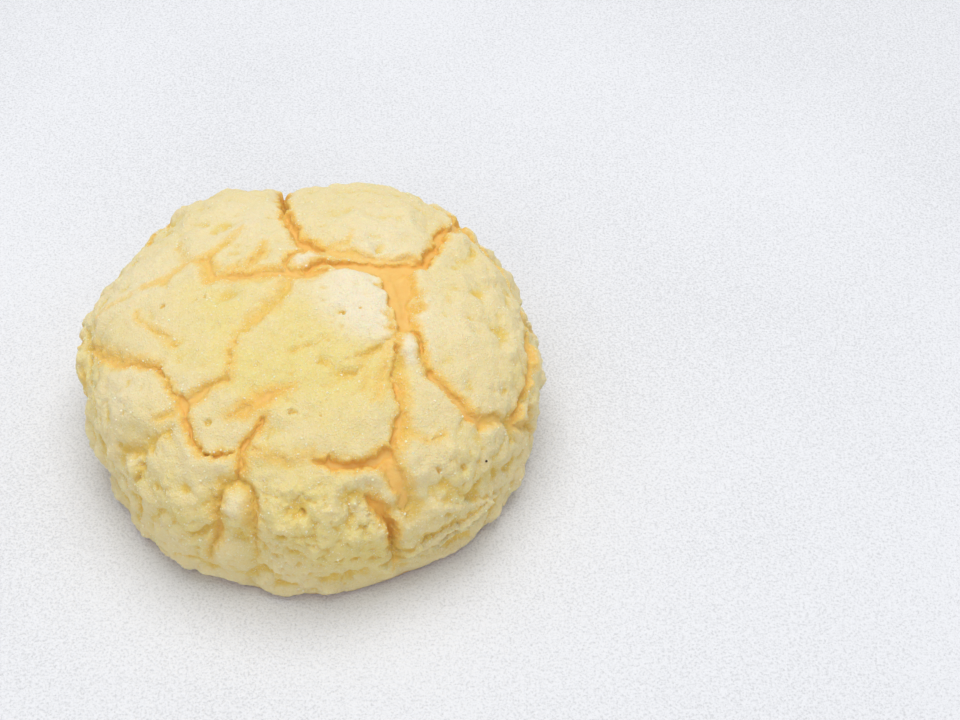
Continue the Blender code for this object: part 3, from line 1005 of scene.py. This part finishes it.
class MELON_OT_stage(bpy.types.Operator):
    """Lay the table, hang the lights and set up the camera"""
    bl_idname = "melon.stage"
    bl_label = "Set the stage"

    def execute(self, context):
        stage = context.scene.melon_stage
        self.floor(stage)
        self.lights(context.scene, stage)
        self.camera(context.scene, stage)
        return {"FINISHED"}

    def floor(self, stage):
        deselect()
        bpy.ops.mesh.primitive_plane_add(size=4.0, location=(0.0, 0.0, BUN_FOOT - TABLE_GAP))
        table = take_active("table_top")
        bpy.ops.object.transform_apply(location=True, rotation=False, scale=False)
        table.data.materials.append(floor_material(stage))

    def lights(self, scene, stage):
        world = bpy.data.worlds.new("soft_sky")
        world.use_nodes = True
        sky = world.node_tree.nodes["Background"]
        sky.inputs["Color"].default_value = colour(stage.sky)
        sky.inputs["Strength"].default_value = stage.sky_strength
        scene.world = world
        self.softbox("key_softbox", stage.key_place, stage.key_size, stage.key_power)
        self.softbox("side_softbox", stage.side_place, stage.side_size, stage.side_power)
        scene.view_settings.view_transform = "Standard"

    def softbox(self, name, place, size, power):
        """A square area light that faces the bun."""
        deselect()
        bpy.ops.object.light_add(type="AREA", location=place)
        light = bpy.context.active_object
        light.name = name
        light.data.energy = power
        light.data.size = size
        aim = Vector((0.0, 0.0, 0.02)) - Vector(place)
        light.rotation_euler = aim.to_track_quat("-Z", "Y").to_euler()

    def camera(self, scene, stage):
        lens = bpy.data.cameras.new("camera")
        lens.lens = stage.lens
        lens.clip_start = 0.01
        camera = bpy.data.objects.new("camera", lens)
        scene.collection.objects.link(camera)
        sight = Vector((0.0, math.cos(stage.camera_pitch), -math.sin(stage.camera_pitch)))
        camera.location = Vector(stage.camera_aim) - sight * stage.camera_distance
        camera.rotation_euler = sight.to_track_quat("-Z", "Y").to_euler()
        scene.camera = camera


# ---------------------------------------------------------------- settings

def length(name, description, default):
    return FloatProperty(name=name, description=description, default=default, unit="LENGTH",
                         precision=5, min=0.0)


def tone(name, description, default):
    return FloatVectorProperty(name=name, description=description, default=default,
                               subtype="COLOR", min=0.0, max=1.0)


class MelonShape(bpy.types.PropertyGroup):
    """Sizes of the crust's relief"""
    crust_depth: length("Crust depth", "From a plate's top to the bread", 0.0026)
    crack_share: FloatProperty(name="Crack depth share", description="Share of the drawn depth",
                               default=0.45, min=0.0)
    shoulder_drop: length("Shoulder drop", "How far a plate rounds down to its edge", 0.0017)
    swell_rise: length("Swell", "Slow unevenness of the whole crust", 0.0009)
    lump_rise: length("Lumps", "Smaller unevenness, most on the flank", 0.0007)
    crag_rise: length("Crags", "Crumbly lumps and the creases between them", 0.0040)
    ripple_rise: length("Ripple", "Gentle unevenness of the plates", 0.0010)
    grain_rise: length("Grain", "Fine roughness of the sandy crust", 0.00012)
    dough_rows: IntProperty(name="Dough rows", description="Rows of faces before thinning",
                            default=560, min=20)
    quick_rows: IntProperty(name="Quick rows", description="Rows of faces for a quick look",
                            default=300, min=20)
    faces_kept: IntProperty(name="Faces kept", description="Triangles left in the crust",
                            default=188000, min=1000)


class MelonTones(bpy.types.PropertyGroup):
    """Colours of the crust, the bread and the sugar"""
    plate: tone("Plate", "Cookie crust on a plate's top", (0.81, 0.668, 0.345))
    pale: tone("Pale", "Thick, least baked crust", (0.85, 0.75, 0.53))
    yellow: tone("Yellow", "Stretched, thin crust", (0.80, 0.65, 0.24))
    warm: tone("Warm", "Crust beside a crack", (0.84, 0.56, 0.14))
    lip: tone("Lip", "Crust at a crack's very edge", (0.85, 0.47, 0.07))
    # Painted shade colour for pits and creases; the sand also borrows it for dark specks
    hollow_shade: tone("Hollow", "Crust down in a hollow", (0.80, 0.55, 0.11))
    bread: tone("Bread", "Smooth bread in the cracks", (0.81, 0.505, 0.14))
    bread_dark: tone("Browner bread", "Blotches on the bread", (0.80, 0.45, 0.10))
    # Partly the bread's real amber, partly painted shade at a plate's foot and deep in cracks
    amber_and_shade: tone("Deep crack", "Bread at the foot of a plate's edge", (0.82, 0.42, 0.055))
    foot: tone("Foot", "Browned underside and foot", (0.52, 0.24, 0.075))
    sugar: tone("Sugar", "Sugar grains", (0.90, 0.82, 0.58))
    scorched: tone("Scorched", "The scorched crumb", (0.06, 0.03, 0.015))


class MelonSugar(bpy.types.PropertyGroup):
    """Sugar grains and the scorched crumb"""
    count: IntProperty(name="Count", description="Number of grains", default=6000, min=1)
    smallest: length("Smallest", "Width of the smallest grain", 0.00028)
    largest: length("Largest", "Width of the largest grain", 0.00075)
    seed: IntProperty(name="Seed", description="Another seed scatters them otherwise", default=5)
    scorched: length("Scorched crumb", "Width of the scorched crumb", 0.0006)


class MelonStage(bpy.types.PropertyGroup):
    """Table, lights and camera"""
    floor: tone("Table", "Colour of the table top", (0.80, 0.80, 0.82))
    sky: tone("Sky", "Colour of the light from all round", (0.93, 0.96, 1.0))
    sky_strength: FloatProperty(name="Sky strength", description="Light from all round",
                                default=0.64, min=0.0)
    key_place: FloatVectorProperty(name="Key place", description="Where the main light hangs",
                                   default=(0.02, 0.12, 0.80), subtype="XYZ")
    key_size: length("Key size", "Side of the main light", 0.6)
    key_power: FloatProperty(name="Key power", description="Power of the main light, in watts",
                             default=4.1, min=0.0)
    side_place: FloatVectorProperty(name="Side place", description="Where the side light hangs",
                                    default=(-0.15, -0.78, 0.45), subtype="XYZ")
    side_size: length("Side size", "Side of the side light", 0.6)
    side_power: FloatProperty(name="Side power", description="Power of the side light, in watts",
                              default=1.0, min=0.0)
    camera_pitch: FloatProperty(name="Pitch", description="How steeply the camera looks down",
                                default=math.radians(48.0), subtype="ANGLE")
    camera_distance: length("Distance", "From the camera to what it aims at", 0.45)
    camera_aim: FloatVectorProperty(name="Aim", description="The point the camera aims at",
                                    default=(0.0409, 0.0018, 0.020), subtype="XYZ")
    lens: FloatProperty(name="Lens", description="Focal length, in millimetres", default=70.0,
                        min=1.0)


class MELON_PT_panel(bpy.types.Panel):
    """Steps and settings of the bun"""
    bl_label = "Melon Pan"
    bl_idname = "MELON_PT_panel"
    bl_space_type = "VIEW_3D"
    bl_region_type = "UI"
    bl_category = "Melon Pan"

    def draw(self, context):
        for step in STEPS:
            self.layout.operator(step.bl_idname)
        for name, group in SETTINGS.items():
            box = self.layout.box()
            box.label(text=group.__doc__)
            for setting in group.__annotations__:
                box.prop(getattr(context.scene, name), setting)


STEPS = (MELON_OT_crust, MELON_OT_sugar, MELON_OT_scorched, MELON_OT_stage)
SETTINGS = {
    "melon_shape": MelonShape,
    "melon_tones": MelonTones,
    "melon_sugar": MelonSugar,
    "melon_stage": MelonStage,
}


def register():
    for group in (*SETTINGS.values(), *STEPS, MELON_PT_panel):
        bpy.utils.register_class(group)
    for name, group in SETTINGS.items():
        setattr(bpy.types.Scene, name, PointerProperty(type=group))


def unregister():
    for name in SETTINGS:
        delattr(bpy.types.Scene, name)
    for group in (MELON_PT_panel, *reversed(STEPS), *SETTINGS.values()):
        bpy.utils.unregister_class(group)


def main():
    """Bakes, scatters and sets the stage."""
    register()
    bpy.ops.melon.crust()
    bpy.ops.melon.sugar()
    bpy.ops.melon.scorched()
    bpy.ops.melon.stage()


if __name__ == "__main__":
    main()
